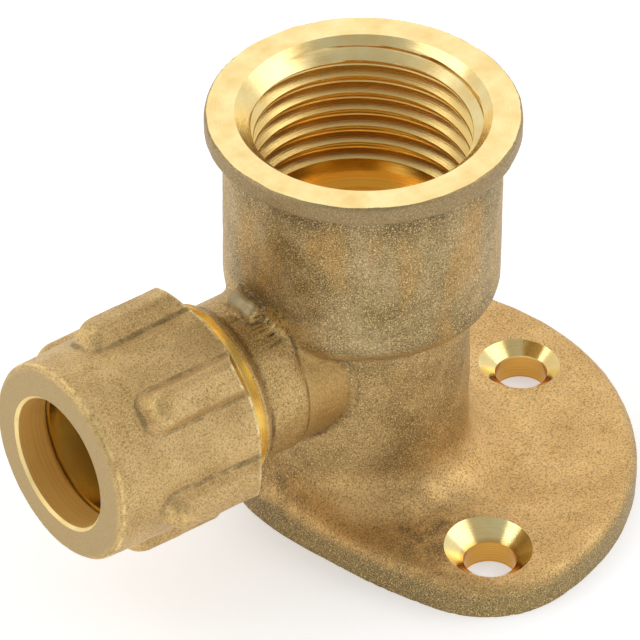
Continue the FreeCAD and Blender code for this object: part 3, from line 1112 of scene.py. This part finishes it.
def tool_path(skin, axis):
    """How far the tool has come at each point: along its axis, and out from it save in a hole."""
    if axis == "socket":
        return skin.math("ADD", skin.from_socket_axis(), skin.z)
    if axis == "branch":
        return skin.math("ADD", skin.from_branch_axis(), skin.x)
    return skin.z


def turned_metal(name, bright, axis, roughness, inside=None):
    """Machined brass with fine rings round the socket, the branch or a hole, and painted shade in amber
    further inside.
    """
    skin = Recipe(name)
    inputs = {"W": tool_path(skin, axis), "Scale": 1 / (ring_width * MM), "Detail": 3.0, "Roughness": 0.7}
    rings = skin.node("ShaderNodeTexNoise", inputs, noise_dimensions="1D").outputs["Fac"]
    stains = skin.noise(stain_size, detail=3.0)
    tone = skin.mix(skin.span(stains, *tone_limits, 0.0, stain_share), bright, deep_brass)
    tone = skin.mix(skin.span(rings, *tone_limits, 0.0, ring_share), tone, deep_brass)
    if inside:
        limits, shade_ambers = inside
        inner_shade = skin.mix(skin.span(rings, *amber_limits), *shade_ambers)
        along = skin.x if axis == "branch" else skin.z
        tone = skin.mix(skin.zone(along, limits), tone, inner_shade)
    skin.set("Base Color", tone)
    skin.set("Metallic", 1.0)
    skin.set("Roughness", skin.span(rings, *noise_limits, roughness * smoothest, roughness * roughest))
    below = skin.bump(skin.noise(turned_skin_size), turned_skin_depth)
    skin.set("Normal", skin.bump(rings, ring_depth, below))
    return skin.material


# Pieces

def body_grid():
    """Places of the body's grid along each axis, finer round the web and the rim."""
    web_bottom = branch_height + branch_radius - rim_height
    rim_start = overall_height - 1.5 * rim_height
    lengthways = spaced(-spigot_reach - allowance, plate_radius, body_step, body_fine_step,
                        [(-shoulder_reach, -neck_radius)])
    across = spaced(-plate_radius, plate_radius, body_step)
    upwards = spaced(-allowance, overall_height + allowance, body_step, body_fine_step,
                     [(web_bottom, web_top + allowance), (rim_start, overall_height + allowance)])
    return lengthways, across, upwards


def make_body(forged, socket_metal, branch_metal, hole_metal, wall_metal):
    """Forged body, then its facing, boring, turning and drilling."""
    points, quads = forged_skin(body_distance, body_grid(), body_unevenness, body_seed)
    finishes = [forged, socket_metal, branch_metal, hole_metal, wall_metal]
    body = mesh_object("forged_elbow", points, quads, finishes, forged)
    cut(body, facing_tool(overall_height, overall_height + 3 * allowance), socket_metal)
    cut(body, facing_tool(-3 * allowance, 0), wall_metal)
    cut(body, socket_tool(), socket_metal)
    cut(body, spigot_tool(), branch_metal)
    cut(body, branch_bore_tool(), branch_metal)
    for name, place in hole_places.items():
        cut(body, screw_hole_tool(place, countersink_radii[name]), hole_metal)
    mark_bends(body, body_distance)
    smooth_with_edges(body)
    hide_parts("elbow_body")
    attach(body, "elbow")


def make_nut(forged, rear_metal, bore_metal):
    """Forged nut, then its bevelled rear end, bore and thread."""
    lengthways = spaced(-nut_front, allowance - nut_rear, nut_step)
    across = spaced(-rib_radius, rib_radius, nut_step)
    grid = (lengthways, across, across + branch_height)
    points, quads = forged_skin(nut_distance, grid, nut_unevenness, nut_seed)
    nut = mesh_object("ribbed_nut", points, quads, [forged, rear_metal, bore_metal], forged)
    cut(nut, nut_rear_tool(), rear_metal)
    cut(nut, nut_bore_tool(), bore_metal)
    mark_bends(nut, nut_distance)
    smooth_with_edges(nut)
    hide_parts("compression_nut")
    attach(nut, "nut")


# Stage and light

WHITE = (1.0, 1.0, 1.0, 1.0)
floor_half = 3000.0
floor_grey = (0.8, 0.8, 0.8, 1.0)
floor_roughness = 0.9
floor_glow = 0.44
dome_level = 0.83
dim_level = 0.46
dim_direction = Vector((-0.36, -0.47, 0.8))
dim_start, dim_end = 0.55, 0.86

# Soft boxes: direction from the part, width in metres and power in watts
lamp_distance = 0.9
soft_boxes = {
    "left_box": ((-1.0, 0.5, 0.9), 0.6, 1.4),
    "right_box": ((0.9, -0.6, 0.8), 0.6, 1.25),
    "back_box": ((0.48, 0.62, 0.62), 0.8, 0.55)}

# The camera looks down on the part from the nut's side
view_target = Vector((-5, 0, 18)) * MM
view_azimuth = math.radians(-37.56)
view_elevation = math.radians(38.604)
view_roll = math.radians(0.393)
view_distance = 0.8
view_clip = (0.01, 20.0)
sensor_width = 36.0
image_size = 640
target_pixel = (316.08, 333.06)
focal_pixels = 9156.2


def floor_white():
    """Pale matt floor that looks white, and keeps the part's shadow."""
    recipe = Recipe("floor_white")
    path = recipe.node("ShaderNodeLightPath").outputs
    seen = recipe.math("MAXIMUM", path["Is Camera Ray"], path["Is Glossy Ray"])
    recipe.set("Base Color", floor_grey)
    recipe.set("Roughness", floor_roughness)
    recipe.set("Specular IOR Level", 0.0)
    recipe.set("Emission Color", WHITE)
    recipe.set("Emission Strength", recipe.times(seen, floor_glow))
    return recipe.material


def make_floor():
    """Wide floor under the wall plate."""
    corners = [(x * floor_half, y * floor_half, 0) for x, y in ((-1, -1), (1, -1), (1, 1), (-1, 1))]
    material = floor_white()
    floor = mesh_object("floor", corners, [range(4)], [material], material)


def light_dome(nodes):
    """Soft white dome that is dimmer high on one side."""
    inputs = {0: nodes.node("ShaderNodeTexCoord").outputs["Generated"], 1: dim_direction.normalized()}
    facing = nodes.node("ShaderNodeVectorMath", inputs, operation="DOT_PRODUCT").outputs["Value"]
    level = nodes.span(facing, dim_start, dim_end, dome_level, dim_level, interpolation_type="SMOOTHSTEP")
    return nodes.node("ShaderNodeBackground", {"Color": WHITE, "Strength": level}).outputs[0]


def make_world():
    """Plain white behind the part, and a soft dome for its light."""
    world = bpy.data.worlds.new("studio")
    bpy.context.scene.world = world
    nodes = Nodes(world)
    backdrop = nodes.tree.nodes["Background"]
    nodes.feed(backdrop.inputs["Color"], WHITE)
    seen = nodes.node("ShaderNodeLightPath").outputs["Is Camera Ray"]
    inputs = {0: seen, 1: light_dome(nodes), 2: backdrop.outputs[0]}
    surface = nodes.node("ShaderNodeMixShader", inputs).outputs[0]
    nodes.feed(nodes.tree.nodes["World Output"].inputs["Surface"], surface)


def make_lamp(name, direction, width, power):
    """Square soft box aimed at the part from one direction."""
    data = bpy.data.lights.new(name, "AREA")
    data.shape = "SQUARE"
    data.size = width
    data.energy = power
    lamp = placed(name, data)
    towards = Vector(direction).normalized()
    lamp.location = view_target + towards * lamp_distance
    lamp.rotation_euler = towards.to_track_quat("Z", "Y").to_euler()


def make_camera():
    """Camera whose target falls on one pixel of the picture."""
    data = bpy.data.cameras.new("camera")
    data.sensor_width = sensor_width
    data.lens = focal_pixels / image_size * sensor_width
    data.shift_x = (image_size / 2 - target_pixel[0]) / image_size
    data.shift_y = (target_pixel[1] - image_size / 2) / image_size
    data.clip_start, data.clip_end = view_clip
    level = math.cos(view_elevation)
    back = Vector((math.sin(view_azimuth) * level, -math.cos(view_azimuth) * level, math.sin(view_elevation)))
    turn = (-back).to_track_quat("-Z", "Y").to_matrix().to_4x4() @ Matrix.Rotation(view_roll, 4, "Z")
    camera = placed("camera", data)
    camera.matrix_world = Matrix.Translation(view_target + back * view_distance) @ turn
    bpy.context.scene.camera = camera


# The finished part and its stage

body_skin = forged_body()
nut_skin = forged_nut()
socket_turned = turned_metal("turned_socket", bright_brass, "socket", roughness=0.22, inside=socket_inside)
branch_turned = turned_metal("turned_branch", bright_brass, "branch", roughness=0.24)
nut_bored = turned_metal("bored_nut", bright_brass, "branch", roughness=0.6, inside=nut_inside)
hole_turned = turned_metal("countersunk", pale_brass, "hole", roughness=0.16, inside=hole_inside)
wall_ground = turned_metal("ground_face", bright_brass, "branch", roughness=0.4)
olive_turned = turned_metal("olive_turned", bright_brass, "branch", roughness=0.2)

make_body(body_skin, socket_turned, branch_turned, hole_turned, wall_ground)
make_nut(nut_skin, branch_turned, nut_bored)
olive = frame["nodes"]["olive"]
olive.data.materials.clear()
olive.data.materials.append(olive_turned)

make_floor()
make_world()
for box_name, box in soft_boxes.items():
    make_lamp(box_name, *box)
make_camera()
bpy.context.scene.view_settings.view_transform = "Standard"
